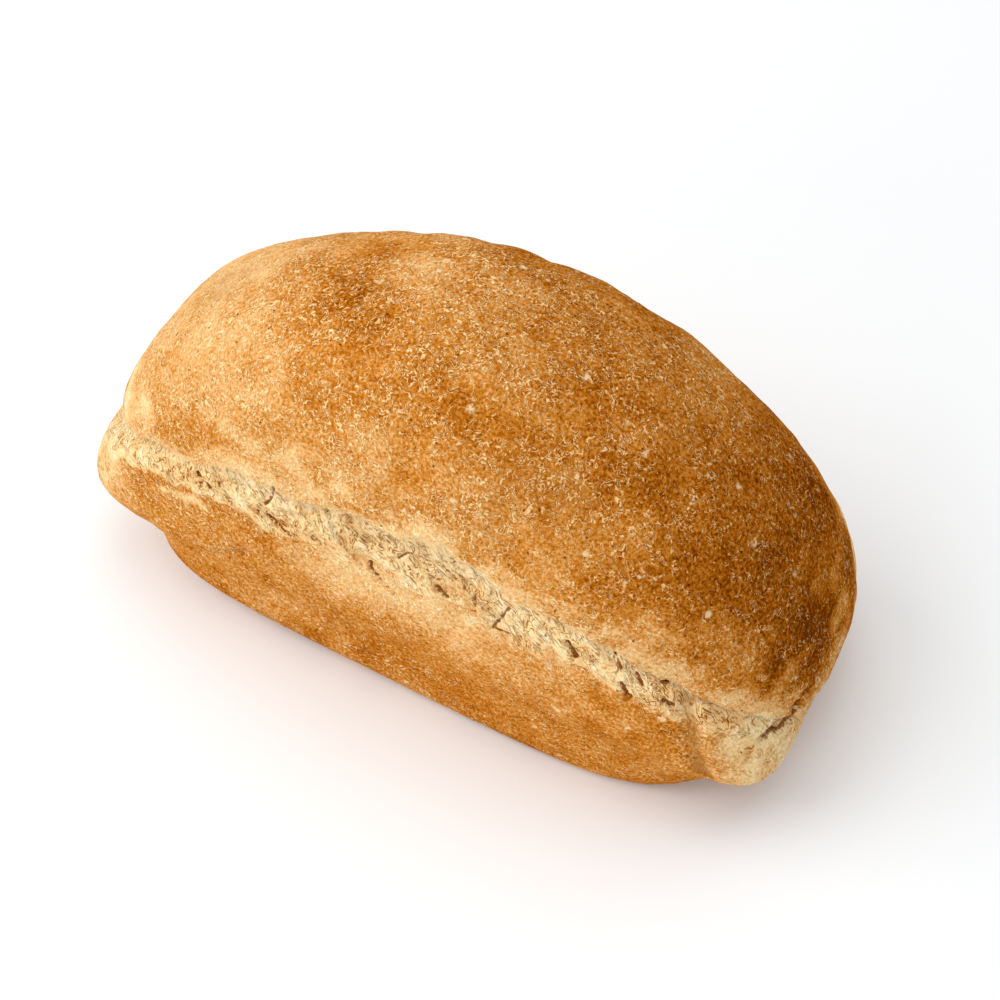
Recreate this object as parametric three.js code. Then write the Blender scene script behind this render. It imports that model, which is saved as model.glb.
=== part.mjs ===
// A whole wheat loaf baked in a long tin, as one solid.
//
// The lower part has the shape of the tin: a flat base and nearly upright walls. Above the tin's rim
// the dough rose and tore, which left a craggy band, tallest at the middle of the long sides. A domed
// crust sits on the band. At both ends the dough hangs over the tin as an ear.
//
// Frame: millimetres, +Z up, +X along the loaf, origin at the middle of the base.

import * as THREE from 'three';

const { clamp, lerp, smoothstep } = THREE.MathUtils;

// Driving dimensions.
const EAR_LENGTH = 130; // from the middle to the tip of an ear
const BASE_LENGTH = 100; // from the middle to an end of the base
const HALF_WIDTH = 53; // of the wall and of the dome's edge
const TIN_DEPTH = 69; // height of the tin's rim at the middle of a long side
const TORN_HEIGHT = 23; // height of the torn band there
const CROWN_HEIGHT = 143.5;

// The loaf is a little lopsided. Each share is reached at an end or at the front.
const WIDENING = 0.095; // wider towards the right
const FRONT_RISE = 0.05; // the dome is higher towards the front
const END_RISE = 0.115; // and fuller towards both ends

// The dome as powers of a rounded box: lengthwise, crosswise, upwards and seen from above.
const DOME = { along: 1.72, across: 2.8, up: 1.56, plan: 1.95 };

// Levels of the wall from the base upwards. left, right and width are half sizes, and square is the power
// of the rounded outline seen from above. The heights are those at the middle of a long side and at each
// end, and sweep is the power by which one turns into the other along the side.
const LEVELS = [
  { left: BASE_LENGTH + 2, right: BASE_LENGTH - 2, width: HALF_WIDTH - 6.5, square: 3.6,
    side: 0, leftEnd: 0, rightEnd: 0, sweep: 1 },
  { left: BASE_LENGTH + 7, right: BASE_LENGTH + 3, width: HALF_WIDTH - 0.5, square: 5,
    side: 5, leftEnd: 9.5, rightEnd: 2, sweep: 0.7 },
  { left: BASE_LENGTH + 13, right: BASE_LENGTH + 18, width: HALF_WIDTH + 0.5, square: 4.7,
    side: 26.5, leftEnd: 18, rightEnd: 13.5, sweep: 4.6 },
  { left: EAR_LENGTH, right: EAR_LENGTH - 3, width: HALF_WIDTH + 3.5, square: 5.5,
    side: 45, leftEnd: 31.5, rightEnd: 22, sweep: 3.6 },
  { left: EAR_LENGTH - 3, right: EAR_LENGTH - 3, width: HALF_WIDTH + 2, square: 4.3,
    side: TIN_DEPTH, leftEnd: 46.5, rightEnd: 33.5, sweep: 5.1 },
  { left: EAR_LENGTH - 6.5, right: EAR_LENGTH - 1.5, width: HALF_WIDTH, square: 3.1,
    side: TIN_DEPTH + TORN_HEIGHT, leftEnd: 55, rightEnd: 41, sweep: 1.9 },
];
const RIM = LEVELS.length - 2;
const EDGE = LEVELS.length - 1; // the crust's lower edge

// The crust's edge sags in even scallops, set off sideways between the front and the back. share is how
// much of the torn band's height the deepest part of a scallop takes.
const SCALLOP = { share: 0.2, period: 40, front: 3, back: 20 };

// Relief, in millimetres, away from a line inside the loaf. size is the length of a bump.
const SPINE = new THREE.Line3(new THREE.Vector3(-80, 0, 42), new THREE.Vector3(80, 0, 42));
const WALL_DENTS = { size: [26, 20, 20], height: 0.6, seed: 11 };
const SWELLS = { size: [46, 34, 40], height: 1.3, seed: 23 };
const BLISTERS = { size: [11, 9, 9], height: 0.35, seed: 37 };
const CRAGS = { size: [9, 9, 5.5], height: 1.5, seed: 41 };
const SHREDS = { size: [4.6, 4.6, 3], height: 0.8, seed: 53 };
const RECESS = 1.8; // of the torn band, below the crust's edge
const LIP = 0.7; // by which the crust's edge stands out

// The stages over which each kind of relief sets in.
const ONSET = {
  wall: [0.5, 1.5],
  torn: [RIM - 0.15, RIM + 0.25],
  recess: [RIM, RIM + 0.8],
  crust: [EDGE - 0.06, EDGE + 0.04],
};
const LIP_REACH = 0.3; // stages from the crust's edge to where the lip has died away

// Creases and cracks: from one point to another on the surface, with half width and depth.
const CREASES = [
  { from: [97, -52, 63], to: [108, -55, 28], width: 5, depth: 3.5 }, // between the wall and the ears
  { from: [97, 53, 62], to: [107, 55, 30], width: 5, depth: 3 },
  { from: [-98, -46, 58], to: [-100, -47, 28], width: 5, depth: 2 },
  { from: [-97, 46, 60], to: [-101, 46, 30], width: 5, depth: 2.5 },
  { from: [119.5, -42, 43], to: [127, -18, 39], width: 3.2, depth: 4.5 }, // where the right ear tore off
  { from: [127, -18, 39], to: [127.5, 18, 31], width: 2.4, depth: 1.2 },
  { from: [-83, -48, 27], to: [-54, -55, 50], width: 3.5, depth: 1.5 }, // a fold of the front wall
];

// Mesh: points along a long side and an end, rings in each stretch of the wall, and rings of the lower
// dome, which reaches up to CORE_TURN. Above it is the crown.
const ALONG = 50;
const ACROSS = 22;
const WALL_RINGS = [2, 2, 5, 4, 10];
const DOME_RINGS = 8;
const CORE_TURN = 0.7;
const HALVINGS = 40; // of a range of turns, to find the one above a point

// A direction seen from above, pushed out to the unit outline of that power.
function onOutline(dx, dy, power) {
  const reach = (Math.abs(dx) ** power + Math.abs(dy) ** power) ** (-1 / power);
  return [dx * reach, dy * reach];
}

// How wide the loaf is at x, as a share of its width at the middle.
function widthShare(x) {
  return 1 + (WIDENING * x) / EAR_LENGTH;
}

// How much of the torn band's height the crust's edge sags into at x, on the front or the back.
function sagShare(x, front) {
  const offset = front ? SCALLOP.front : SCALLOP.back;
  const wave = 0.5 + 0.5 * Math.cos((2 * Math.PI * (x - offset)) / SCALLOP.period);
  return SCALLOP.share * wave ** 2;
}

// The point of a level in a direction seen from above.
function levelPoint(index, dx, dy) {
  const level = LEVELS[index];
  const [ux, uy] = onOutline(dx, dy, level.square);
  const x = ux * (ux > 0 ? level.right : level.left);
  const end = ux > 0 ? level.rightEnd : level.leftEnd;
  const point = new THREE.Vector3(x, uy * level.width * widthShare(x), 0);
  point.z = lerp(level.side, end, Math.abs(ux) ** level.sweep);
  if (index === EDGE) point.z = lerp(point.z, levelPoint(RIM, dx, dy).z, sagShare(x, uy < 0));
  return point;
}

// A point of the wall at any stage: a Catmull-Rom curve through the levels in that direction.
function wallPoint(stage, dx, dy) {
  const first = Math.min(Math.floor(stage), EDGE - 1);
  const t = stage - first;
  const near = [-1, 0, 1, 2].map((step) => levelPoint(clamp(first + step, 0, EDGE), dx, dy));
  const along = (axis) => {
    const [a, b, c, d] = near.map((point) => point[axis]);
    return b + 0.5 * t * (c - a + t * (2 * a - 5 * b + 4 * c - d + t * (3 * (b - c) + d - a)));
  };
  return new THREE.Vector3(along('x'), along('y'), along('z'));
}

// A point of the dome. turn is 0 at the crust's edge and a right angle at the crown.
function domePoint(turn, dx, dy) {
  const edge = LEVELS[EDGE];
  const risen = Math.sin(turn) ** 2;
  const [ux, uy] = onOutline(dx, dy, lerp(edge.square, DOME.plan, risen));
  const x = ux * (ux > 0 ? edge.right : edge.left) * Math.cos(turn) ** (2 / DOME.along);
  const y = uy * edge.width * Math.cos(turn) ** (2 / DOME.across);
  const foot = levelPoint(EDGE, dx, dy).z;
  const bulge = 1 + END_RISE * (x / EAR_LENGTH) ** 2 - (FRONT_RISE * y) / HALF_WIDTH;
  const rise = (CROWN_HEIGHT - foot) * risen ** (1 / DOME.up) * bulge;
  return new THREE.Vector3(x, y * widthShare(x), foot + rise);
}

// The point of the dome above a point seen from above, and its turn, found by halving.
function domeAbove(planX, planY) {
  const edge = LEVELS[EDGE];
  const share = (turn) => [
    planX / ((planX > 0 ? edge.right : edge.left) * Math.cos(turn) ** (2 / DOME.along)),
    planY / (widthShare(planX) * edge.width * Math.cos(turn) ** (2 / DOME.across)),
  ];
  let low = 0;
  let high = Math.PI / 2 - 1e-6;
  for (let k = 0; k < HALVINGS; k++) {
    const turn = (low + high) / 2;
    const [sx, sy] = share(turn);
    const power = lerp(edge.square, DOME.plan, Math.sin(turn) ** 2);
    if (Math.abs(sx) ** power + Math.abs(sy) ** power < 1) low = turn;
    else high = turn;
  }
  return { point: domePoint(low, ...share(low)), turn: low };
}

// A random number from -1 to 1 for a whole-numbered point.
function lattice(i, j, k, seed) {
  let h = Math.imul(i, 374761393) ^ Math.imul(j, 668265263) ^ Math.imul(k, 1442695041);
  h = Math.imul(h ^ Math.imul(seed, 1103515245) ^ (h >>> 13), 1274126177);
  h = Math.imul(h ^ (h >>> 16), 739981127);
  return ((h ^ (h >>> 15)) >>> 0) / 2147483647.5 - 1;
}

// Smooth noise from -1 to 1, for bumps of the given size.
function noise(point, { size, seed }) {
  const cell = point.toArray().map((v, axis) => v / size[axis]);
  const base = cell.map(Math.floor);
  const [fx, fy, fz] = cell.map((v, axis) => smoothstep(v - base[axis], 0, 1));
  const corner = (a, b, c) => lattice(base[0] + a, base[1] + b, base[2] + c, seed);
  const edge = (b, c) => lerp(corner(0, b, c), corner(1, b, c), fx);
  return lerp(lerp(edge(0, 0), edge(1, 0), fy), lerp(edge(0, 1), edge(1, 1), fy), fz);
}

// How deep the creases are at a point.
function creaseDepth(point) {
  let depth = 0;
  for (const crease of CREASES) {
    const line = new THREE.Line3(new THREE.Vector3(...crease.from), new THREE.Vector3(...crease.to));
    const nearest = line.closestPointToPoint(point, true, new THREE.Vector3());
    depth += crease.depth * (1 - smoothstep(nearest.distanceTo(point), 0, crease.width));
  }
  return depth;
}

// The direction away from the spine, which the relief follows.
function outwards(point) {
  const nearest = SPINE.closestPointToPoint(point, true, new THREE.Vector3());
  return point.clone().sub(nearest).normalize();
}

// The relief at a point of the shell. gap is the torn band's height in that direction.
function relief(point, stage, gap) {
  const wall = smoothstep(stage, ...ONSET.wall);
  const crust = smoothstep(stage, ...ONSET.crust);
  const torn = smoothstep(stage, ...ONSET.torn) * (1 - crust) * smoothstep(gap, 0, TORN_HEIGHT);
  const edge = crust * (1 - smoothstep(stage, EDGE, EDGE + LIP_REACH));
  const crags = CRAGS.height * (1 - 2 * Math.abs(noise(point, CRAGS))) + SHREDS.height * noise(point, SHREDS);
  return (
    wall * WALL_DENTS.height * noise(point, WALL_DENTS) +
    crust * (SWELLS.height * noise(point, SWELLS) + BLISTERS.height * noise(point, BLISTERS)) +
    edge * LIP * (0.5 + 0.5 * noise(point, CRAGS)) +
    torn * (crags - RECESS * smoothstep(stage, ...ONSET.recess)) -
    wall * creaseDepth(point)
  );
}

// The directions of a ring's points: those of the edge of a rectangle of ALONG by ACROSS steps.
function ringDirections() {
  const directions = [];
  for (let i = 0; i < ALONG; i++) directions.push([(2 * i) / ALONG - 1, -1]);
  for (let j = 0; j < ACROSS; j++) directions.push([1, (2 * j) / ACROSS - 1]);
  for (let i = 0; i < ALONG; i++) directions.push([1 - (2 * i) / ALONG, 1]);
  for (let j = 0; j < ACROSS; j++) directions.push([-1, 1 - (2 * j) / ACROSS]);
  return directions;
}

// The smooth shell: rings up the wall and the lower dome, a grid over the crown and a fan for the base.
function loafShell() {
  const shell = { points: [], stages: [], gaps: [], triangles: [] };
  const directions = ringDirections();
  const count = directions.length;

  const add = (point, stage, gap) => {
    shell.stages.push(stage);
    shell.gaps.push(gap);
    return shell.points.push(point) - 1;
  };
  const quad = (a, b, c, d) => shell.triangles.push(a, b, c, a, c, d);

  const gaps = directions.map(([dx, dy]) => levelPoint(EDGE, dx, dy).z - levelPoint(RIM, dx, dy).z);
  const rings = [];
  const addRing = (stage, pointAt) => {
    rings.push(directions.map(([dx, dy], k) => add(pointAt(dx, dy), stage, gaps[k])));
  };
  WALL_RINGS.forEach((steps, first) => {
    for (let k = 0; k < steps; k++) {
      const stage = first + k / steps;
      addRing(stage, (dx, dy) => wallPoint(stage, dx, dy));
    }
  });
  for (let k = 0; k <= DOME_RINGS; k++) {
    const turn = (CORE_TURN * k) / DOME_RINGS;
    addRing(EDGE + turn, (dx, dy) => domePoint(turn, dx, dy));
  }
  for (let r = 1; r < rings.length; r++) {
    for (let k = 0; k < count; k++) {
      const next = (k + 1) % count;
      quad(rings[r - 1][k], rings[r - 1][next], rings[r][next], rings[r][k]);
    }
  }

  // Over the crown the points are spread evenly between those of the last ring.
  const last = rings[rings.length - 1];
  const south = (i) => last[i];
  const east = (j) => last[ALONG + j];
  const north = (i) => last[2 * ALONG + ACROSS - i];
  const west = (j) => last[(2 * (ALONG + ACROSS) - j) % count];
  const spread = (i, j, axis) => {
    const at = (index) => shell.points[index][axis];
    const [u, v] = [i / ALONG, j / ACROSS];
    const corners = lerp(lerp(at(south(0)), at(south(ALONG)), u), lerp(at(north(0)), at(north(ALONG)), u), v);
    return lerp(at(south(i)), at(north(i)), v) + lerp(at(west(j)), at(east(j)), u) - corners;
  };
  const crown = (i, j) => {
    if (j === 0) return south(i);
    if (j === ACROSS) return north(i);
    if (i === 0) return west(j);
    if (i === ALONG) return east(j);
    const { point, turn } = domeAbove(spread(i, j, 'x'), spread(i, j, 'y'));
    return add(point, EDGE + turn, 0);
  };
  const grid = [];
  for (let i = 0; i <= ALONG; i++) {
    grid.push([]);
    for (let j = 0; j <= ACROSS; j++) grid[i].push(crown(i, j));
  }
  for (let i = 0; i < ALONG; i++) {
    for (let j = 0; j < ACROSS; j++) quad(grid[i][j], grid[i + 1][j], grid[i + 1][j + 1], grid[i][j + 1]);
  }

  const middle = add(new THREE.Vector3(0, 0, 0), 0, 0);
  for (let k = 0; k < count; k++) shell.triangles.push(middle, rings[0][(k + 1) % count], rings[0][k]);
  return shell;
}

// The loaf: the shell with its relief, moved so that the box around it stands centred on the origin.
function loafGeometry() {
  const { points, stages, gaps, triangles } = loafShell();
  const moved = points.map((point, k) => (
    point.clone().addScaledVector(outwards(point), relief(point, stages[k], gaps[k]))
  ));
  const geometry = new THREE.BufferGeometry().setFromPoints(moved);
  geometry.setIndex(triangles);
  geometry.computeBoundingBox();
  const { min, max } = geometry.boundingBox;
  geometry.translate(-(min.x + max.x) / 2, -(min.y + max.y) / 2, -min.z);
  geometry.computeVertexNormals();
  return geometry;
}

const crust = new THREE.MeshStandardMaterial({ color: 0xb9783a, roughness: 0.75, metalness: 0 });
const loaf = new THREE.Mesh(loafGeometry(), crust);
loaf.name = 'loaf';

const part = new THREE.Group();
part.add(loaf);
export default part;
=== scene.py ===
"""The looks of a whole wheat loaf: a finely meshed crust with its torn band, bran and browning.

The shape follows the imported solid: the same levels, dome, scallops and relief, with finer relief added.
Lengths are in millimetres until the mesh is made, and in metres from there on.
"""

import math
from types import SimpleNamespace

import bpy
import numpy as np
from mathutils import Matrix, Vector
from mathutils.bvhtree import BVHTree


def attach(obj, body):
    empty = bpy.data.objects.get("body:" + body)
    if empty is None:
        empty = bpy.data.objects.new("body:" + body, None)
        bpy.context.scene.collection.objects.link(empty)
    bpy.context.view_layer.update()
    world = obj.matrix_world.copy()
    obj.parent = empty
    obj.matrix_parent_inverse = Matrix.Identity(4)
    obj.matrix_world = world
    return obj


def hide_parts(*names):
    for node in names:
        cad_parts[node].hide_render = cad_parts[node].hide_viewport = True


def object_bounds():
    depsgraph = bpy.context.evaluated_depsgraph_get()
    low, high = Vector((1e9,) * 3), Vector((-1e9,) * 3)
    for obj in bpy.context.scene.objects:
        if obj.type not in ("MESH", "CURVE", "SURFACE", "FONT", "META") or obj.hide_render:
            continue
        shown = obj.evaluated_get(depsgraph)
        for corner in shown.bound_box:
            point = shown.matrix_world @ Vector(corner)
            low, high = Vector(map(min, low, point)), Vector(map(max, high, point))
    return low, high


MM = 0.001

# Driving dimensions.
EAR_LENGTH = 130.0
BASE_LENGTH = 100.0
HALF_WIDTH = 53.0
TIN_DEPTH = 69.0
TORN_HEIGHT = 23.0
CROWN_HEIGHT = 143.5

# How lopsided the loaf is: wider to the right, and a dome that rises to the front and the ends.
WIDENING = 0.095
FRONT_RISE = 0.05
END_RISE = 0.115

# The dome as powers of a rounded box.
DOME_ALONG = 1.72
DOME_ACROSS = 2.8
DOME_UP = 1.56
DOME_PLAN = 1.95

# Levels of the wall: left, right and half width, power of the outline, heights at the middle of a side
# and at the left and right end, and the power by which one turns into the other.
# They were fitted to the photograph's outline, break line and rim line, and then rounded.
LEVELS = [
    (BASE_LENGTH + 2, BASE_LENGTH - 2, HALF_WIDTH - 6.5, 3.6, 0, 0, 0, 1),
    (BASE_LENGTH + 7, BASE_LENGTH + 3, HALF_WIDTH - 0.5, 5, 5, 9.5, 2, 0.7),
    (BASE_LENGTH + 13, BASE_LENGTH + 18, HALF_WIDTH + 0.5, 4.7, 26.5, 18, 13.5, 4.6),
    (EAR_LENGTH, EAR_LENGTH - 3, HALF_WIDTH + 3.5, 5.5, 45, 31.5, 22, 3.6),
    (EAR_LENGTH - 3, EAR_LENGTH - 3, HALF_WIDTH + 2, 4.3, TIN_DEPTH, 46.5, 33.5, 5.1),
    (EAR_LENGTH - 6.5, EAR_LENGTH - 1.5, HALF_WIDTH, 3.1, TIN_DEPTH + TORN_HEIGHT, 55, 41, 1.9),
]
RIM = len(LEVELS) - 2
EDGE = len(LEVELS) - 1

# Scallops of the crust's edge.
SAG_SHARE = 0.2
SAG_PERIOD = 40.0
SAG_FRONT = 3.0
SAG_BACK = 20.0

# Relief as bump size, height and seed, away from a line inside the loaf.
SPINE_HALF = 80.0
SPINE_HEIGHT = 42.0
WALL_DENTS = ((26, 20, 20), 0.6, 11)
SWELLS = ((46, 34, 40), 1.3, 23)
BLISTERS = ((11, 9, 9), 0.35, 37)
CRAGS = ((9, 9, 5.5), 1.5, 41)
SHREDS = ((4.6, 4.6, 3), 0.8, 53)
RECESS = 1.8
LIP = 0.7
LIP_REACH = 0.3

# Creases and cracks: from, to, half width and depth.
CREASES = [
    ((97, -52, 63), (108, -55, 28), 5, 2.6),
    ((97, 53, 62), (107, 55, 30), 5, 3),
    ((-98, -46, 58), (-100, -47, 28), 5, 2),
    ((-97, 46, 60), (-101, 46, 30), 5, 2.5),
    ((119.5, -42, 43), (127, -18, 39), 2.2, 2.0),
    ((127, -18, 39), (127.5, 18, 31), 2.4, 1.2),
    ((-83, -48, 27), (-54, -55, 50), 3.5, 1.5),
]

# Finer relief that only this mesh carries.
GRAIN = ((2.6, 2.6, 2.6), 0.12, 71)
PUCKERS = ((5.5, 5.5, 5.5), 0.24, 73)
STRANDS = ((2.4, 2.4, 1.6), 0.35, 79)
FRAY = 0.12  # stages by which the crust's edge wanders
END_FILL = 1.4  # height of what fills the valley between ear and dome
END_REACH = 0.4  # stages from the crust's edge to where that has died away
FLAP_STEP = 8.5  # from one flap to the next
FLAP_HEIGHT = 2.0
FLAP_LIP = 0.82  # share of a flap's step after which it falls away
FLAP_MIDDLE = 0.4  # share of a flap's height that is level with the band
RIPPLE_STEP = 3.1
RIPPLE_HEIGHT = 0.32
FLAP_WARP = ((14, 14, 12), 5.0, 83)
FLAP_PATCHES = ((16, 16, 12), 1.0, 89)

# Where the camera stands, in degrees and millimetres: from the front towards the right, above the table,
# and away from its target. The shifts are shares of the picture's width, which is PICTURE pixels.
CAMERA_TURN = 26.2
CAMERA_RISE = 51.0
CAMERA_AWAY = 600.0
CAMERA_TARGET = (0, 0, 60)
LENS = 65.66
SENSOR = 36.0
SHIFT_X = 0.0298
SHIFT_Y = -0.0276
PICTURE = 1000

# Lights: place and size in metres, and watts. The sky's strength, and the floor's size and colour.
LIGHTS = {
    "key": ((-0.95, -0.45, 1.15), 1.2, 11),
    "top": ((-0.1, 0.45, 1.55), 1.6, 9),
    "front": ((-0.3, -1.4, 0.45), 1.0, 6.5),
}
LIGHT_TARGET = (0, 0, 0.05)
SKY = 0.54
FLOOR_SIZE = 6.0
FLOOR_COLOUR = (0.915, 0.93, 0.94, 1)

# Slits and cuts, by where the photograph shows them: the pixels that each runs through, read off,
# then its half width and depth in millimetres.
BAND_SLITS = [
    ([(198, 473), (210, 487)], 1.1, 1.8),
    ([(244, 501), (258, 511)], 0.7, 0.9),
    ([(267, 515), (276, 522)], 1.1, 2.0),
    ([(287, 532), (290, 538), (297, 542)], 0.9, 1.3),
    ([(273, 487), (272, 497), (265, 504)], 0.9, 1.0),
    ([(370, 562), (371, 568), (379, 579)], 1.1, 1.9),
    ([(379, 579), (399, 598)], 0.6, 0.7),
    ([(424, 563), (431, 577)], 0.8, 1.0),
    ([(431, 577), (438, 589), (446, 598)], 1.1, 1.8),
    ([(436, 560), (455, 579)], 0.8, 1.1),
    ([(509, 608), (492, 628), (509, 635)], 0.8, 1.1),
    ([(475, 595), (474, 612)], 0.7, 0.9),
    ([(398, 558), (407, 553), (422, 558)], 0.7, 0.9),
    ([(567, 642), (573, 652), (576, 657)], 1.0, 1.5),
    ([(615, 652), (620, 669)], 1.0, 1.2),
    ([(621, 684), (625, 692), (630, 699)], 1.1, 2.0),
    ([(636, 674), (642, 685)], 0.9, 1.3),
    ([(663, 702), (672, 706)], 1.3, 2.0),
    ([(661, 683), (668, 682)], 1.0, 1.3),
]
EAR_CUTS = [
    ([(685, 759), (692, 757), (699, 758)], 1.1, 1.4),
    ([(732, 643), (741, 641)], 0.9, 1.2),
    ([(694, 661), (698, 658)], 0.8, 1.0),
]
END_CRACK = [
    ([(762, 739), (767, 737), (770, 731)], 1.1, 1.4),
    ([(770, 731), (778, 731), (784, 726), (789, 720)], 1.7, 2.4),
    ([(789, 720), (794, 715), (799, 704)], 2.5, 3.0),
    ([(799, 704), (805, 696), (809, 692), (816, 681), (819, 672)], 1.8, 2.4),
    ([(836, 640), (842, 627)], 1.3, 1.8),
]
WALL_FOLD = [
    ([(196, 547), (235, 552), (250, 556)], 1.0, 0.8),
]
SLITS = BAND_SLITS + EAR_CUTS + END_CRACK + WALL_FOLD
FULL_SHADE_DEPTH = 1.5  # of a slit whose inside gets the full painted shade
THIN = 0.25  # added to a slit's half width where its painted shade reaches, so that the mesh carries the thinnest
HOLLOW_SHADE_DEPTH = 2.5  # of the relief under which the painted shade of a hollow is full
CREASE_SHADE_DEPTH = 3  # of a crease under which its painted shade is full

# The parts of the loaf over which each kind of relief sets in, as stages or as shares of EAR_LENGTH.
WALL_ONSET = (0.5, 1.5)
TORN_ONSET = (RIM - 0.15, RIM + 0.25)
RECESS_ONSET = (RIM, RIM + 0.8)
CRUST_ONSET = (EDGE - 0.08, EDGE + 0.04)
END_ONSET = (0.7, 0.9)

# Browning of each part, from 0 for torn crumb to 1 for the darkest crust.
CRUMB = 0.19
WALL_FOOT = 0.74
WALL_MIDDLE = 0.65
SHOULDER = 0.47
DOME_EDGE = 0.37
DOME_SIDE = 0.64
DOME_TOP = 0.71
# The next three make the dome paler to the left and browner to the right, partly browning and partly
# painted shade on the side that gets less light.
BROWNING_AND_SHADE_RIGHTWARDS = 0.22
FAR_RIGHT_BROWNING_AND_SHADE = 0.1
END_BROWNING_AND_SHADE = 0.2  # at the foot of the dome's right end; partly browning, partly painted shade
LEFT_SHOULDER = 0.24
RIGHT_SHOULDER = 0.17
PALE_LEFT_EAR = 0.26
PALE_RIGHT_EAR = 0.15
GOLDEN = ((8, 8, 6), 0.2, 109)  # golden places in the torn band
BLOTCHES = ((38, 34, 30), 0.09, 101)
PATCHES = ((12, 12, 12), 0.07, 103)
MOTTLE = ((4.5, 4.5, 4.5), 0.06, 107)
BRAN_PATCHES = ((15, 15, 15), 0.5, 113)  # share of the bran that is missing between its patches
BARE_RIGHT = 0.35  # share of the bran that the right end lacks
BARE_WALL = 0.35  # share of the bran that the wall lacks
SCORCH = ((-30, -15, 138), 24, 0.1)  # a browner place on the dome: middle, reach and browning
BLOOM = ((-20, 3, 140), 16, -0.13)  # a paler place beside it

# Mesh: points along a long side and an end, rings in each stretch of the wall, and rings of the dome.
# From FINE_FROM up to the crust's edge the rings have twice as many points.
ALONG = 196
ACROSS = 84
WALL_RINGS = [4, 9, 9, 14, 40]
FINE_FROM = RIM - 0.3
DOME_RINGS = 22
CORE_TURN = 0.7
BASE_RINGS = 5
HALVINGS = 40


def smoothstep(value, low, high):
    t = np.clip((value - low) / (high - low), 0, 1)
    return t * t * (3 - 2 * t)


def on_outline(dx, dy, power):
    """Directions seen from above, pushed out to the unit outline of that power."""
    reach = (np.abs(dx) ** power + np.abs(dy) ** power) ** (-1 / power)
    return dx * reach, dy * reach


def width_share(x):
    return 1 + WIDENING * x / EAR_LENGTH


def sag_share(x, front):
    offset = np.where(front, SAG_FRONT, SAG_BACK)
    wave = 0.5 + 0.5 * np.cos(2 * np.pi * (x - offset) / SAG_PERIOD)
    return SAG_SHARE * wave**2


def level_point(index, dx, dy):
    """The points of a level in directions seen from above."""
    left, right, width, square, side, left_end, right_end, sweep = LEVELS[index]
    ux, uy = on_outline(dx, dy, square)
    x = ux * np.where(ux > 0, right, left)
    end = np.where(ux > 0, right_end, left_end)
    z = side + (end - side) * np.abs(ux) ** sweep
    if index == EDGE:
        z = z + (level_point(RIM, dx, dy)[:, 2] - z) * sag_share(x, uy < 0)
    return np.stack([x, uy * width * width_share(x), z], 1)


def wall_point(stage, dx, dy):
    """The points of the wall at a stage: Catmull-Rom curves through the levels."""
    first = min(int(math.floor(stage)), EDGE - 1)
    t = stage - first
    a, b, c, d = (level_point(min(max(first + step, 0), EDGE), dx, dy) for step in (-1, 0, 1, 2))
    return b + 0.5 * t * (c - a + t * (2 * a - 5 * b + 4 * c - d + t * (3 * (b - c) + d - a)))


def dome_point(turn, dx, dy):
    """The points of the dome. turn is 0 at the crust's edge and a right angle at the crown."""
    left, right, width, square = LEVELS[EDGE][:4]
    risen = np.sin(turn) ** 2
    ux, uy = on_outline(dx, dy, square + (DOME_PLAN - square) * risen)
    x = ux * np.where(ux > 0, right, left) * np.cos(turn) ** (2 / DOME_ALONG)
    y = uy * width * np.cos(turn) ** (2 / DOME_ACROSS)
    foot = level_point(EDGE, dx, dy)[:, 2]
    bulge = 1 + END_RISE * (x / EAR_LENGTH) ** 2 - FRONT_RISE * y / HALF_WIDTH
    rise = (CROWN_HEIGHT - foot) * risen ** (1 / DOME_UP) * bulge
    return np.stack([x, y * width_share(x), foot + rise], 1)


def dome_above(plan_x, plan_y):
    """The points of the dome above points seen from above, and their turns, found by halving."""
    left, right, width, square = LEVELS[EDGE][:4]

    def share(turn):
        along = np.where(plan_x > 0, right, left) * np.cos(turn) ** (2 / DOME_ALONG)
        across = width_share(plan_x) * width * np.cos(turn) ** (2 / DOME_ACROSS)
        return plan_x / along, plan_y / across

    low = np.zeros_like(plan_x)
    high = np.full_like(plan_x, math.pi / 2 - 1e-6)
    for _ in range(HALVINGS):
        turn = (low + high) / 2
        sx, sy = share(turn)
        power = square + (DOME_PLAN - square) * np.sin(turn) ** 2
        inside = np.abs(sx) ** power + np.abs(sy) ** power < 1
        low = np.where(inside, turn, low)
        high = np.where(inside, high, turn)
    return dome_point(low, *share(low)), low


def lattice(i, j, k, seed):
    """A random number from -1 to 1 for whole-numbered points."""
    i, j, k = (np.asarray(v, np.int64).astype(np.uint32) for v in (i, j, k))
    start = np.uint32(seed * 1103515245 & 0xFFFFFFFF)
    h = i * np.uint32(374761393) ^ j * np.uint32(668265263) ^ k * np.uint32(1442695041)
    h = (h ^ start ^ (h >> np.uint32(13))) * np.uint32(1274126177)
    h = (h ^ (h >> np.uint32(16))) * np.uint32(739981127)
    return (h ^ (h >> np.uint32(15))).astype(float) / 2147483647.5 - 1


def noise(points, kind):
    """Smooth noise from -1 to 1, for bumps of that kind's size."""
    size, _, seed = kind
    cell = points / np.array(size, float)
    base = np.floor(cell)
    fraction = cell - base
    fx, fy, fz = (fraction * fraction * (3 - 2 * fraction)).T

    def corner(a, b, c):
        return lattice(base[:, 0] + a, base[:, 1] + b, base[:, 2] + c, seed)

    def side(b, c):
        start = corner(0, b, c)
        return start + (corner(1, b, c) - start) * fx

    low = side(0, 0) + (side(1, 0) - side(0, 0)) * fy
    high = side(0, 1) + (side(1, 1) - side(0, 1)) * fy
    return low + (high - low) * fz


def distance_to_segment(points, start, end):
    start, end = np.array(start, float), np.array(end, float)
    way = end - start
    share = np.clip((points - start) @ way / (way @ way), 0, 1)
    return np.linalg.norm(points - start - share[:, None] * way, axis=1)


def crease_depth(points):
    depth = np.zeros(len(points))
    for start, end, width, deep in CREASES:
        depth += deep * (1 - smoothstep(distance_to_segment(points, start, end), 0, width))
    return depth


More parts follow.
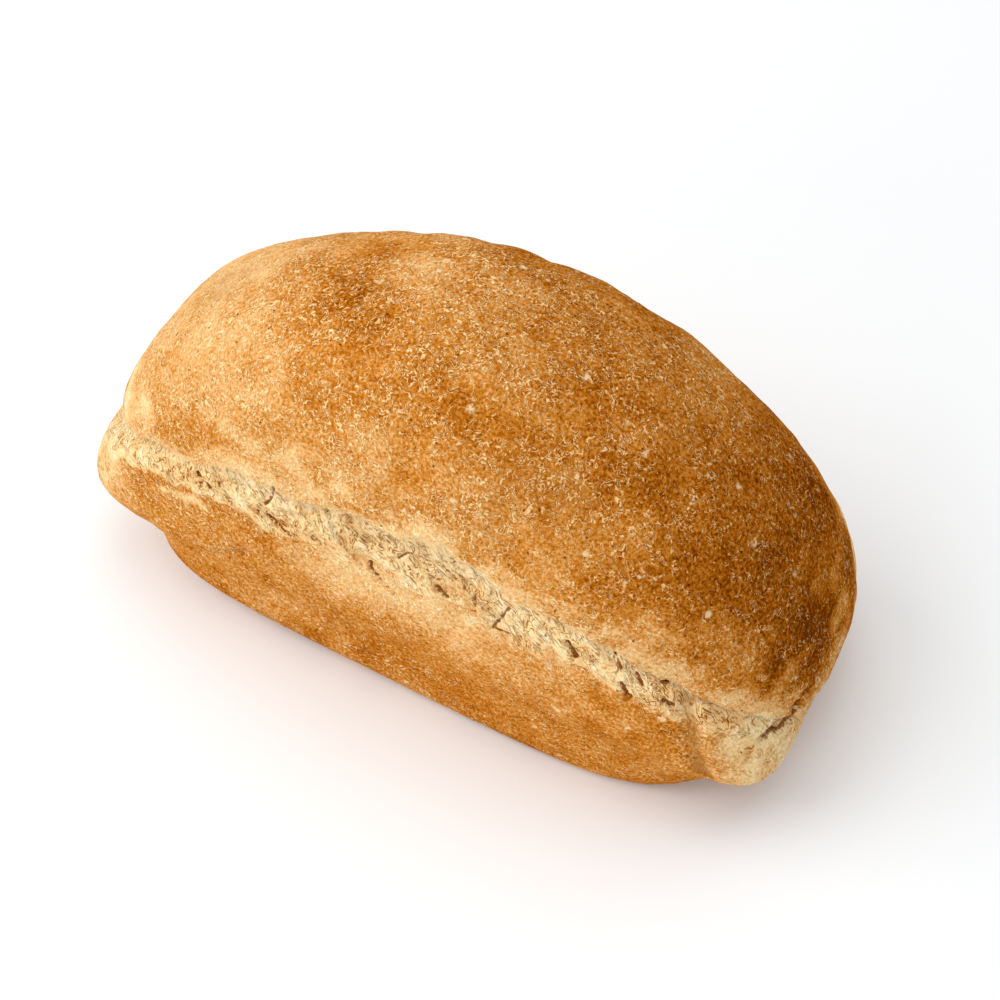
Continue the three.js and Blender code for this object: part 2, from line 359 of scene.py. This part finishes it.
def outwards(points):
    """The direction away from the spine, which the relief follows."""
    x = np.clip(points[:, 0], -SPINE_HALF, SPINE_HALF)
    spine = np.stack([x, np.zeros_like(x), np.full_like(x, SPINE_HEIGHT)], 1)
    away = points - spine
    return away / np.linalg.norm(away, axis=1)[:, None]


def flaps(points):
    """Height of the overlapping flaps and ripples of torn dough, which run down to the right."""
    across = (points[:, 0] + points[:, 2]) / math.sqrt(2) + FLAP_WARP[1] * noise(points, FLAP_WARP)
    share = across / FLAP_STEP - np.floor(across / FLAP_STEP)
    profile = share - smoothstep(share, FLAP_LIP, 1.0) - FLAP_MIDDLE
    ripple = np.sin(2 * np.pi * across / RIPPLE_STEP)
    flap = FLAP_HEIGHT * profile * smoothstep(noise(points, FLAP_PATCHES), -0.35, 0.25)
    return flap + RIPPLE_HEIGHT * ripple


def frayed(points, stage):
    """The stage of each point, shifted so that the crust's edge is frayed."""
    return stage + FRAY * (noise(points, CRAGS) + 0.8 * noise(points, SHREDS))


def openness(points, stage, gap):
    """How much torn crumb shows, from 0 to 1. Where the band is low, it reaches down the wall."""
    share = smoothstep(gap, 0, 0.8 * TORN_HEIGHT)
    wandering = stage + 0.3 * noise(points, CRAGS) + 0.18 * noise(points, SHREDS)
    lowest = RIM + 0.05 - 0.25 * (1 - share)
    low = smoothstep(wandering, lowest - 0.3, lowest + 0.25)
    end = smoothstep(np.abs(points[:, 0]), 0.75 * EAR_LENGTH, 0.95 * EAR_LENGTH)
    softer = end * np.where(points[:, 0] < 0, 0.25, 0.05)
    high = 1 - smoothstep(frayed(points, stage), EDGE - 0.1 - 0.15 * end, EDGE + 0.05 + softer)
    ear = 0.6 * end * smoothstep(wandering, RIM - 1.9, RIM - 0.6)
    return high * np.maximum(low * smoothstep(gap, 0.5, 3.5), ear)


def relief(points, stage, gap):
    """The relief of the shell, and how torn and how deeply creased each point is."""
    wall = smoothstep(stage, *WALL_ONSET)
    crust = smoothstep(frayed(points, stage), *CRUST_ONSET)
    torn = smoothstep(stage, *TORN_ONSET) * (1 - crust) * smoothstep(gap, 0, TORN_HEIGHT)
    end = smoothstep(np.abs(points[:, 0]), *(share * EAR_LENGTH for share in END_ONSET))
    torn = torn * (1 - 0.7 * end)
    edge = crust * (1 - smoothstep(stage, EDGE, EDGE + LIP_REACH)) * (1 - end)
    craggy = noise(points, CRAGS)
    crags = CRAGS[1] * (1 - 2 * np.abs(craggy)) + SHREDS[1] * noise(points, SHREDS)
    fine = STRANDS[1] * noise(points, STRANDS) + flaps(points)
    creases = wall * crease_depth(points)
    height = wall * WALL_DENTS[1] * noise(points, WALL_DENTS)
    height += crust * (SWELLS[1] * noise(points, SWELLS) + BLISTERS[1] * noise(points, BLISTERS))
    height += edge * LIP * (0.5 + 0.5 * craggy)
    height += end * END_FILL * (1 - smoothstep(np.abs(stage - EDGE), 0, END_REACH))
    height += torn * (crags + fine - RECESS * smoothstep(stage, *RECESS_ONSET))
    height += (1 - torn) * wall * (GRAIN[1] * noise(points, GRAIN) + PUCKERS[1] * noise(points, PUCKERS))
    return height - creases, torn, creases


def camera_axes():
    """The directions from the target back to the camera, and to its right and upwards."""
    turn, rise = math.radians(CAMERA_TURN), math.radians(CAMERA_RISE)
    back = Vector((math.sin(turn) * math.cos(rise), -math.cos(turn) * math.cos(rise), math.sin(rise)))
    right = Vector((math.cos(turn), math.sin(turn), 0))
    return back, right, back.cross(right)


def camera_place():
    return Vector(CAMERA_TARGET) + CAMERA_AWAY * camera_axes()[0]


def sight_line(px, py):
    """The direction in which the camera sees a pixel of the photograph."""
    back, right, up = camera_axes()
    aside = (px / PICTURE - 0.5 + SHIFT_X) * SENSOR / LENS
    above = (0.5 - py / PICTURE + SHIFT_Y) * SENSOR / LENS
    return (aside * right + above * up - back).normalized()


def seen_paths(points, triangles):
    """The slits as paths on the loaf: the points that the camera sees at their pixels."""
    surface = BVHTree.FromPolygons(points.tolist(), triangles.tolist())
    place = camera_place()
    return [[surface.ray_cast(place, sight_line(*pixel))[0] for pixel in slit[0]] for slit in SLITS]


def slit_marks(points, paths):
    """How deep the slits are at each point, and how much painted shade darkens their inside, where 1 is
    full shade.
    """
    depth = np.zeros(len(points))
    slit_shade = np.zeros(len(points))
    ragged = 1 + 0.4 * noise(points, STRANDS)
    for path, (_, width, deep) in zip(paths, SLITS):
        near = np.min([distance_to_segment(points, *pair) for pair in zip(path, path[1:])], axis=0)
        depth = np.maximum(depth, deep * (1 - smoothstep(near / (width * ragged), 0.1, 1)))
        fullest_shade = 0.6 + 0.4 * deep / FULL_SHADE_DEPTH
        slit_shade = np.maximum(slit_shade, fullest_shade * (1 - smoothstep(near / (width + THIN), 0.15, 1.05)))
    return depth, slit_shade


def blob(points, place):
    middle, reach, amount = place
    away = np.linalg.norm(points - np.array(middle, float), axis=1)
    return amount * (1 - smoothstep(away, 0.3 * reach, reach))


def wall_browning(along, stage, wandering):
    brown = WALL_FOOT + (WALL_MIDDLE - WALL_FOOT) * smoothstep(stage, 0.5, 2.5)
    shoulder = SHOULDER + LEFT_SHOULDER * smoothstep(-along, 0.1, 0.4)
    shoulder += RIGHT_SHOULDER * smoothstep(along, 0.2, 0.5)
    return brown + (shoulder - WALL_MIDDLE) * smoothstep(wandering, RIM - 1.25, RIM + 0.05)


def dome_browning(along, stage, wandering):
    brown = DOME_EDGE + (DOME_SIDE - DOME_EDGE) * smoothstep(wandering, EDGE - 0.1, EDGE + 0.38)
    brown += (DOME_TOP - DOME_SIDE) * smoothstep(stage, EDGE + 0.4, EDGE + 1.1)
    # Paler to the left and browner to the right: partly browning, partly painted shade on the side that
    # gets less light.
    lopsided = np.where(along < 0, along, 1.1 * along**2)
    brown += BROWNING_AND_SHADE_RIGHTWARDS * lopsided * smoothstep(stage, EDGE, EDGE + 0.5)
    brown += FAR_RIGHT_BROWNING_AND_SHADE * smoothstep(along, 0.5, 0.85) * smoothstep(stage, EDGE + 0.3, EDGE + 0.6)
    foot = 1 - smoothstep(stage, EDGE + 0.3, EDGE + 0.7)
    return brown + END_BROWNING_AND_SHADE * smoothstep(along, 0.82, 0.95) * foot


def ear_paleness(along, stage, wandering):
    """How much less brown the ears are than the wall and the dome beside them."""
    ends = smoothstep(np.abs(along), 0.7, 0.95) * smoothstep(stage, 2.3, 3.6)
    paler = np.where(along < 0, PALE_LEFT_EAR, PALE_RIGHT_EAR)
    fade = EDGE + np.where(along < 0, 0.35, 0.0)
    return paler * ends * (1 - smoothstep(wandering, fade - 0.4, fade))


def browning(points, stage, torn):
    """How brown each point is, without its finest flecks."""
    along = points[:, 0] / EAR_LENGTH
    wandering = stage + 0.3 * noise(points, CRAGS) + 0.12 * noise(points, STRANDS)
    wall = wall_browning(along, stage, wandering)
    dome = dome_browning(along, stage, wandering)
    brown = wall + (dome - wall) * smoothstep(stage, EDGE - 0.3, EDGE + 0.05)
    brown -= ear_paleness(along, stage, wandering)
    higher = smoothstep(stage, RIM + 0.3, RIM + 0.8)
    golden = smoothstep(noise(points, GOLDEN), -0.1, 0.4) * (1 - 0.7 * higher)
    crumb = CRUMB + GOLDEN[1] * golden
    brown += (crumb - brown) * smoothstep(torn, 0.1, 0.7)
    for kind in (BLOTCHES, PATCHES, MOTTLE):
        brown += (1 - 0.5 * torn) * kind[1] * noise(points, kind)
    return brown + blob(points, SCORCH) + blob(points, BLOOM)


def bran_share(points, stage):
    """How much of the bran shows at each point, from 0 to 1."""
    share = 1 - BRAN_PATCHES[1] * smoothstep(noise(points, BRAN_PATCHES), 0.1, 0.6)
    share *= 1 - BARE_RIGHT * smoothstep(points[:, 0] / EAR_LENGTH, 0.1, 0.8)
    return share * (1 - BARE_WALL * smoothstep(-stage, -RIM, 1 - RIM))


def ring_directions(finer):
    """The directions of a ring's points: those of the edge of a rectangle of steps, finer times as many."""
    i = 2 * np.arange(finer * ALONG) / (finer * ALONG) - 1
    j = 2 * np.arange(finer * ACROSS) / (finer * ACROSS) - 1
    front = np.stack([i, -np.ones_like(i)], 1)
    right = np.stack([np.ones_like(j), j], 1)
    return np.concatenate([front, right, -front, -right]).T


class Shell:
    """The smooth shell's points, stages and triangles, as they are added."""

    def __init__(self):
        self.points = []
        self.stages = []
        self.gaps = []
        self.triangles = []
        self.count = 0

    def add(self, points, stages, gaps):
        numbers = np.arange(self.count, self.count + len(points))
        self.count += len(points)
        self.points.append(points)
        self.stages.append(np.broadcast_to(stages, len(points)))
        self.gaps.append(np.broadcast_to(gaps, len(points)))
        return numbers

    def quads(self, a, b, c, d):
        self.triangles.append(np.stack([a, b, c], -1).reshape(-1, 3))
        self.triangles.append(np.stack([a, c, d], -1).reshape(-1, 3))

    def band(self, below, above):
        """Joins two rings. One may have twice as many points as the other."""
        if len(below) == len(above):
            self.quads(below, np.roll(below, -1), np.roll(above, -1), above)
            return
        coarse, fine = sorted((below, above), key=len)
        corners = [coarse, np.roll(coarse, -1), fine[0::2], fine[1::2], np.roll(fine, -2)[0::2]]
        faces = [(0, 1, 3), (0, 3, 2), (1, 4, 3)]
        if fine is below:
            faces = [face[::-1] for face in faces]
        self.triangles.extend(np.stack([corners[c] for c in face], 1) for face in faces)


def crown_grid(shell, ring, points):
    """Numbers of the crown's grid, whose rim is the last ring and whose inside is spread evenly."""
    corner = 2 * ALONG + ACROSS
    south = points[: ALONG + 1]
    north = points[ALONG + ACROSS : corner + 1][::-1]
    east = points[ALONG : ALONG + ACROSS + 1]
    west = points[np.r_[corner : len(points), 0]][::-1]
    u = (np.arange(ALONG + 1) / ALONG)[:, None, None]
    v = (np.arange(ACROSS + 1) / ACROSS)[None, :, None]
    corners = (1 - v) * ((1 - u) * south[0] + u * south[-1]) + v * ((1 - u) * north[0] + u * north[-1])
    plan = (1 - v) * south[:, None] + v * north[:, None] + (1 - u) * west[None] + u * east[None] - corners
    inside = plan[1:-1, 1:-1, :2].reshape(-1, 2)
    placed, turns = dome_above(inside[:, 0], inside[:, 1])
    grid = np.zeros((ALONG + 1, ACROSS + 1), int)
    grid[1:-1, 1:-1] = shell.add(placed, EDGE + turns, 0).reshape(ALONG - 1, ACROSS - 1)
    grid[:, 0] = ring[: ALONG + 1]
    grid[:, -1] = ring[ALONG + ACROSS : corner + 1][::-1]
    grid[-1, :] = ring[ALONG : ALONG + ACROSS + 1]
    grid[0, :] = ring[np.r_[corner : len(ring), 0]][::-1]
    return grid


def loaf_shell():
    """The smooth shell: rings up the wall and the lower dome, a grid over the crown, and the base."""
    shell = Shell()
    rings = []

    def add_ring(stage, finer, point_at, at):
        dx, dy = ring_directions(finer)
        gaps = level_point(EDGE, dx, dy)[:, 2] - level_point(RIM, dx, dy)[:, 2]
        rings.append(shell.add(point_at(at, dx, dy), stage, gaps))

    for first, steps in enumerate(WALL_RINGS):
        for k in range(steps):
            stage = first + k / steps
            add_ring(stage, 2 if stage > FINE_FROM else 1, wall_point, stage)
    for k in range(DOME_RINGS + 1):
        turn = CORE_TURN * k / DOME_RINGS
        add_ring(EDGE + turn, 2 if k == 0 else 1, dome_point, turn)
    for below, above in zip(rings, rings[1:]):
        shell.band(below, above)
    grid = crown_grid(shell, rings[-1], shell.points[-1])
    shell.quads(grid[:-1, :-1], grid[1:, :-1], grid[1:, 1:], grid[:-1, 1:])
    inner = rings[0]
    for k in range(1, BASE_RINGS):
        smaller = shell.add(shell.points[0] * (1 - k / BASE_RINGS), 0, 0)
        shell.band(smaller, inner)
        inner = smaller
    middle = shell.add(np.zeros((1, 3)), 0, 0)
    fan = np.stack([np.broadcast_to(middle, len(inner)), np.roll(inner, -1), inner], 1)
    shell.triangles.append(fan)
    return shell


def mesh_object(name, points, triangles):
    mesh = bpy.data.meshes.new(name)
    mesh.vertices.add(len(points))
    mesh.vertices.foreach_set("co", (points * MM).astype(np.float32).ravel())
    mesh.loops.add(len(triangles) * 3)
    mesh.loops.foreach_set("vertex_index", triangles.astype(np.int32).ravel())
    mesh.polygons.add(len(triangles))
    mesh.polygons.foreach_set("loop_start", np.arange(0, len(triangles) * 3, 3, dtype=np.int32))
    mesh.update(calc_edges=True)
    mesh.shade_smooth()
    piece = bpy.data.objects.new(name, mesh)
    bpy.context.scene.collection.objects.link(piece)
    return piece


def set_attribute(piece, name, values):
    attribute = piece.data.attributes.new(name, "FLOAT", "POINT")
    attribute.data.foreach_set("value", np.asarray(values, np.float32))


def make_loaf(box_low, box_high):
    """The loaf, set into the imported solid's box, with what its material needs to know at each point."""
    shell = loaf_shell()
    points = np.concatenate(shell.points)
    stage = np.concatenate(shell.stages)
    gap = np.concatenate(shell.gaps)
    height, torn, creases = relief(points, stage, gap)
    moved = points + outwards(points) * height[:, None]
    low, high = moved.min(0), moved.max(0)
    moved[:, :2] += (np.array(box_low + box_high)[:2] / MM - low[:2] - high[:2]) / 2
    moved[:, 2] -= low[2]
    triangles = np.concatenate(shell.triangles)
    depth, slit_shade = slit_marks(moved, seen_paths(moved, triangles))
    moved -= outwards(moved) * depth[:, None]
    piece = mesh_object("loaf_crust", moved, triangles)
    crumb = openness(points, stage, gap)
    set_attribute(piece, "brown", browning(points, stage, crumb))
    set_attribute(piece, "torn", crumb)
    # Painted shade under the crust's lip, on the torn crumb just below it.
    set_attribute(piece, "shaded", crumb * smoothstep(stage, EDGE - 0.45, EDGE - 0.1))
    # Painted shade in the hollows of the relief: the deeper, the darker.
    set_attribute(piece, "hollow_shade", np.clip(-(height + RECESS * torn) / HOLLOW_SHADE_DEPTH, 0, 1))
    # Painted shade in the creases: the deeper, the darker.
    set_attribute(piece, "crease", np.clip(creases / CREASE_SHADE_DEPTH, 0, 1))
    # Painted shade inside the slits.
    set_attribute(piece, "slit", slit_shade)
    set_attribute(piece, "bran", bran_share(points, stage))
    return piece


def linear(red, green, blue):
    """A colour as it shows on a screen, from 0 to 255, as the shader needs it."""
    shown = [v / 255 for v in (red, green, blue)]
    return [v / 12.92 if v <= 0.04045 else ((v + 0.055) / 1.055) ** 2.4 for v in shown] + [1.0]


class Graph:
    """Short ways to add nodes to a material."""

    def __init__(self, name):
        self.material = bpy.data.materials.new(name)
        self.material.use_nodes = True
        self.tree = self.material.node_tree
        self.tree.nodes.clear()
        self.place = self.node("ShaderNodeTexCoord").outputs["Object"]

    def node(self, kind, **settings):
        made = self.tree.nodes.new(kind)
        for name, value in settings.items():
            setattr(made, name, value)
        return made

    def plug(self, socket, value):
        if isinstance(value, bpy.types.NodeSocket):
            self.tree.links.new(value, socket)
        else:
            socket.default_value = value

    def attribute(self, name):
        return self.node("ShaderNodeAttribute", attribute_name=name).outputs["Fac"]

    def math(self, operation, a, b=0.0, clamp=False):
        made = self.node("ShaderNodeMath", operation=operation, use_clamp=clamp)
        self.plug(made.inputs[0], a)
        self.plug(made.inputs[1], b)
        return made.outputs[0]

    def times(self, *factors):
        result = factors[0]
        for factor in factors[1:]:
            result = self.math("MULTIPLY", result, factor)
        return result

    def total(self, *terms):
        result = terms[0]
        for term in terms[1:]:
            result = self.math("ADD", result, term)
        return result

    def step(self, value, low, high, start=0.0, end=1.0):
        """A smooth step from start to end as value goes from low to high."""
        made = self.node("ShaderNodeMapRange", interpolation_type="SMOOTHSTEP")
        for socket, number in zip(made.inputs, (value, low, high, start, end)):
            self.plug(socket, number)
        return made.outputs[0]

    def noise(self, size, detail=2.0, rough=0.5, distortion=0.0):
        """Noise from 0 to 1 with bumps of that size in metres."""
        made = self.node("ShaderNodeTexNoise")
        self.plug(made.inputs["Vector"], self.place)
        self.plug(made.inputs["Scale"], 1 / size)
        self.plug(made.inputs["Detail"], detail)
        self.plug(made.inputs["Roughness"], rough)
        self.plug(made.inputs["Distortion"], distortion)
        return made.outputs["Fac"]

    def cells(self, size, randomness=1.0):
        """Distance to the nearest of scattered points, as a share of size, and a random colour."""
        made = self.node("ShaderNodeTexVoronoi", feature="F1")
        self.plug(made.inputs["Vector"], self.place)
        self.plug(made.inputs["Scale"], 1 / size)
        self.plug(made.inputs["Randomness"], randomness)
        return made.outputs["Distance"], made.outputs["Color"]

    def mix(self, share, a, b):
        made = self.node("ShaderNodeMix", data_type="RGBA")
        self.plug(made.inputs[0], share)
        self.plug(made.inputs[6], a)
        self.plug(made.inputs[7], b)
        return made.outputs[2]

    def ramp(self, value, stops):
        made = self.node("ShaderNodeValToRGB")
        self.plug(made.inputs["Fac"], value)
        elements = made.color_ramp.elements
        while len(elements) < len(stops):
            elements.new(0.5)
        for element, (position, colour) in zip(elements, stops):
            element.position = position
            element.color = colour
        return made.outputs["Color"]

    def first_number(self, colour):
        made = self.node("ShaderNodeSeparateColor")
        self.plug(made.inputs[0], colour)
        return made.outputs[0]


# Colours of the browning, from torn crumb to the darkest crust.
BAKED = [
    (0.0, linear(252, 236, 202)),
    (0.18, linear(248, 218, 162)),
    (0.36, linear(242, 200, 138)),
    (0.52, linear(226, 171, 108)),
    (0.68, linear(200, 129, 48)),
    (0.84, linear(166, 90, 8)),
    (1.0, linear(108, 50, 0)),
]
BRAN = linear(254, 232, 180)
FLOUR = linear(250, 222, 172)
PIT = linear(104, 52, 8)
# Painted shade inside slits and cracks.
SLIT_SHADE = linear(144, 72, 10)
# Greyish crumb, and the colour of the painted shade under the crust's lip.
GREYISH_AND_LIP_SHADE = linear(208, 182, 142)
# Painted shade in hollows.
HOLLOW_SHADE = linear(164, 108, 48)
# Painted shade in creases.
CREASE_SHADE = linear(142, 86, 34)

# Sizes in the crust's material, in metres.
GRAIN_SIZE = 0.0011
BRAN_SIZE = 0.0021
TEAR_SIZE = 0.0042
LINE_PATCHES = 0.003  # in which the strands' thin lines show
GREY_PATCHES = 0.009
FLOUR_STEP = 0.008
FLOUR_RADIUS = 0.0018
FLOUR_GRAIN = 0.0014
PIT_STEP = 0.0048
PIT_RADIUS = 0.00045
BUMP = 1.4 * MM

# How often each comes round in the noise that it follows.
BRAN_LINES = 6.0
TEAR_LINES = 3.0
BROAD_STRANDS = 3.0
NARROW_STRANDS = 7.0
STRAND_BEND = 1.2

# What each adds to the browning. The furrows' share is painted shade between the bran strokes, the tears'
# share painted shade in the torn dough's creases, and the strand's share painted highlight on the raised
# strands and painted shade between them.
BROWN = {"grain": 0.7, "furrow_shade": 0.09, "strand": -0.06, "strokes": -0.24, "tears": 0.5}

# The largest share of each in the colour.
SHARE = {
    "grey": 0.15,
    "shaded": 0.35,
    "bran": 0.26,
    "flour": 0.7,
    "pits": 0.75,
    # Painted shade in hollows.
    "hollow_shade": 0.6,
    # Painted shade in creases.
    "crease": 0.12,
    # Painted shade inside slits.
    "slit": 0.88,
}

# What each adds to the bump, as a share of its height.
HEIGHT = {"strokes": 0.14, "grain": 0.45, "flour": 0.15, "pits": -0.7, "strand": 0.16, "tears": -0.3}

BRANLESS = 0.22  # how much rarer the bran's strokes are where it is missing
FAINTER = 0.4  # how much fainter they are there
# How dark the tears and the strands' thin lines are painted, as shade in the torn dough's creases.
TEAR_SHADE = 0.5
RAGGED = 1.2  # how far the grain frays the painted shade inside the slits


def fibres(g, size, lines, start, low=0.2, high=0.8, fewer=0.0):
    """Short curved strokes of bran: broken contour lines of a smooth noise, and the furrows between them,
    which get painted shade.
    """
    field = g.noise(size, 1.0, 0.5, 0.5)
    wave = g.math("SINE", g.times(field, 2 * math.pi * lines))
    broken = g.step(g.math("SUBTRACT", g.noise(BRAN_SIZE, 1.0), fewer), start, start + 0.1)
    return g.times(g.step(wave, low, high), broken), g.step(wave, -0.35, -0.95)


def strands(g):
    """Strands of torn dough that run down to the right, from -1 to 1, and thin lines along them. The
    strands give painted highlight and shade, and the lines painted shade.
    """
    made = g.node("ShaderNodeCombineXYZ")
    for socket, way in zip(made.inputs, ((230, 0, 230), (75, 0, -75), (0, 200, 0))):
        dot = g.node("ShaderNodeVectorMath", operation="DOT_PRODUCT")
        g.plug(dot.inputs[0], g.place)
        g.plug(dot.inputs[1], way)
        g.plug(socket, dot.outputs["Value"])
    field = g.node("ShaderNodeTexNoise")
    g.plug(field.inputs["Vector"], made.outputs[0])
    g.plug(field.inputs["Scale"], 1.0)
    g.plug(field.inputs["Detail"], 2.0)
    g.plug(field.inputs["Distortion"], STRAND_BEND)
    broad = g.math("SINE", g.times(field.outputs["Fac"], 2 * math.pi * BROAD_STRANDS))
    narrow = g.math("SINE", g.times(field.outputs["Fac"], 2 * math.pi * NARROW_STRANDS))
    return broad, g.times(g.step(narrow, 0.55, 0.95), g.step(g.noise(LINE_PATCHES, 1), 0.4, 0.55))


def spots(g, size, radius, share):
    """Scattered round spots: radius and size in metres, share of the places that have one."""
    distance, colour = g.cells(size)
    chosen = g.step(g.first_number(colour), share, share - 0.02)
    return g.times(g.step(distance, radius / size, 0.4 * radius / size), chosen)


def crust_fields(g):
    """What the browning, the colours and the bump share: grain, bran, strands, tears, flour and pits."""
    torn = g.attribute("torn")
    fine = g.noise(GRAIN_SIZE, 3)
    on_crust = g.step(g.total(torn, g.times(fine, 0.3)), 0.8, 0.35)
    bare = g.math("SUBTRACT", 1.0, g.attribute("bran"))
    strokes, furrow_shade = fibres(g, BRAN_SIZE, BRAN_LINES, 0.42, fewer=g.times(bare, BRANLESS))
    strokes = g.times(strokes, g.math("SUBTRACT", 1.0, g.times(bare, FAINTER)))
    strand, lines = strands(g)
    # Tears that darken the torn dough as painted shade in its creases.
    tears = g.times(fibres(g, TEAR_SIZE, TEAR_LINES, 0.42, 0.6, 0.95)[0], TEAR_SHADE)
    flour = g.times(spots(g, FLOUR_STEP, FLOUR_RADIUS, 0.5), g.step(g.noise(FLOUR_GRAIN, 1), 0.42, 0.58))
    return SimpleNamespace(
        torn=torn,
        fine=fine,
        grain=g.math("SUBTRACT", fine, 0.5),
        strokes=strokes,
        strokes_on_crust=g.times(strokes, on_crust),
        furrow_shade=g.times(furrow_shade, on_crust),
        strand=g.times(strand, torn),
        tears=g.times(g.math("MAXIMUM", tears, lines), torn),
        flour=flour,
        pits=spots(g, PIT_STEP, PIT_RADIUS, 0.5),
    )


def crust_brown(g, fields):
    """The browning of each point with its finest flecks, and with painted shade in the furrows and the
    tears and painted highlight and shade on the torn strands.
    """
    return g.total(
        g.attribute("brown"),
        g.times(fields.grain, BROWN["grain"]),
        # Painted shade in the furrows between the bran strokes.
        g.times(fields.furrow_shade, BROWN["furrow_shade"]),
        # Paler where the strands rise and browner between them, as painted highlight and shade.
        g.times(fields.strand, BROWN["strand"]),
        g.times(fields.strokes_on_crust, BROWN["strokes"]),
        # Painted shade in the tears and thin lines of the torn dough.
        g.times(fields.tears, BROWN["tears"]),
    )


def crust_colour(g, fields):
    """The baked colour, and over it greyish crumb with painted shade under the crust's lip, bran, flour,
    pits, and painted shade in hollows, creases and slits.
    """
    patches = g.times(g.step(g.noise(GREY_PATCHES, 2), 0.5, 0.62), fields.torn)
    shade = g.times(g.attribute("shaded"), SHARE["shaded"])
    jagged = g.total(g.attribute("slit"), g.times(fields.grain, RAGGED))
    layers = [
        # Greyish patches of crumb, and painted shade under the crust's lip.
        (g.math("MAXIMUM", g.times(patches, SHARE["grey"]), shade), GREYISH_AND_LIP_SHADE),
        (g.times(fields.strokes, SHARE["bran"]), BRAN),
        (g.times(fields.flour, SHARE["flour"]), FLOUR),
        (g.times(fields.pits, SHARE["pits"]), PIT),
        # Painted shade in the hollows.
        (g.step(g.attribute("hollow_shade"), 0.15, 1.0, 0.0, SHARE["hollow_shade"]), HOLLOW_SHADE),
        (g.times(g.attribute("crease"), SHARE["crease"]), CREASE_SHADE),
        # Painted shade inside the slits, frayed by the grain.
        (g.step(jagged, 0.42, 0.85, 0.0, SHARE["slit"]), SLIT_SHADE),
    ]
    colour = g.ramp(crust_brown(g, fields), BAKED)
    for share, over in layers:
        colour = g.mix(share, colour, over)
    return colour


def crust_normal(g, fields):
    """The bump of the grain, the bran, the torn strands and the pits."""
    bump = g.node("ShaderNodeBump")
    bump.inputs["Strength"].default_value = 1.0
    bump.inputs["Distance"].default_value = BUMP
    height = g.total(
        g.times(fields.strokes_on_crust, HEIGHT["strokes"]),
        g.times(fields.fine, HEIGHT["grain"]),
        g.times(fields.flour, HEIGHT["flour"]),
        g.times(fields.pits, HEIGHT["pits"]),
        g.times(fields.strand, HEIGHT["strand"]),
        g.times(fields.tears, HEIGHT["tears"]),
    )
    g.plug(bump.inputs["Height"], height)
    return bump.outputs["Normal"]


def crust_material():
    g = Graph("baked_crust")
    fields = crust_fields(g)
    shader = g.node("ShaderNodeBsdfPrincipled")
    g.plug(shader.inputs["Base Color"], crust_colour(g, fields))
    shader.inputs["Roughness"].default_value = 0.85
    shader.inputs["Specular IOR Level"].default_value = 0.0
    g.plug(shader.inputs["Normal"], crust_normal(g, fields))
    output = g.node("ShaderNodeOutputMaterial")
    g.plug(output.inputs["Surface"], shader.outputs["BSDF"])
    return g.material


def make_floor():
    """A plain pale floor, which isn't part of the loaf."""
    bpy.ops.mesh.primitive_plane_add(size=FLOOR_SIZE)
    floor = bpy.context.object
    floor.name = "floor"
    material = bpy.data.materials.new("pale_floor")
    material.use_nodes = True
    shader = material.node_tree.nodes["Principled BSDF"]
    shader.inputs["Base Color"].default_value = FLOOR_COLOUR
    shader.inputs["Roughness"].default_value = 0.9
    floor.data.materials.append(material)


def area_light(name, place, size, watts):
    data = bpy.data.lights.new(name, "AREA")
    data.shape = "DISK"
    data.size = size
    data.energy = watts
    lamp = bpy.data.objects.new(name, data)
    lamp.location = place
    lamp.rotation_euler = (Vector(LIGHT_TARGET) - Vector(place)).to_track_quat("-Z", "Y").to_euler()
    bpy.context.scene.collection.objects.link(lamp)


def make_lights():
    world = bpy.data.worlds.new("studio")
    world.use_nodes = True
    world.node_tree.nodes["Background"].inputs["Color"].default_value = (1, 1, 1, 1)
    world.node_tree.nodes["Background"].inputs["Strength"].default_value = SKY
    bpy.context.scene.world = world
    for name, (place, size, watts) in LIGHTS.items():
        area_light(name, place, size, watts)


def make_camera():
    """The photograph's view, from above the front and a little from the right."""
    data = bpy.data.cameras.new("camera")
    data.sensor_width = SENSOR
    data.lens = LENS
    data.shift_x = SHIFT_X
    data.shift_y = SHIFT_Y
    camera = bpy.data.objects.new("camera", data)
    camera.location = camera_place() * MM
    camera.rotation_mode = "QUATERNION"
    camera.rotation_quaternion = (-camera_axes()[0]).to_track_quat("-Z", "Y")
    bpy.context.scene.collection.objects.link(camera)
    bpy.context.scene.camera = camera


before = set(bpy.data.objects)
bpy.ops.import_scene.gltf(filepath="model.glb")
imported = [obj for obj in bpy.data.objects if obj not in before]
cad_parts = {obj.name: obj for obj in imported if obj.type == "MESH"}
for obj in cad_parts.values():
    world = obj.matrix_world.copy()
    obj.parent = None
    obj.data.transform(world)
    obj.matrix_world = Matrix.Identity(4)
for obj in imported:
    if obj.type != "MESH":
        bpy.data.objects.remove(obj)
cad_low, cad_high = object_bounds()

make_camera()
make_lights()
make_floor()

loaf = make_loaf(cad_low, cad_high)
loaf.data.materials.append(crust_material())
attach(loaf, "root")
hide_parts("loaf")

bpy.context.scene.view_settings.view_transform = "Standard"
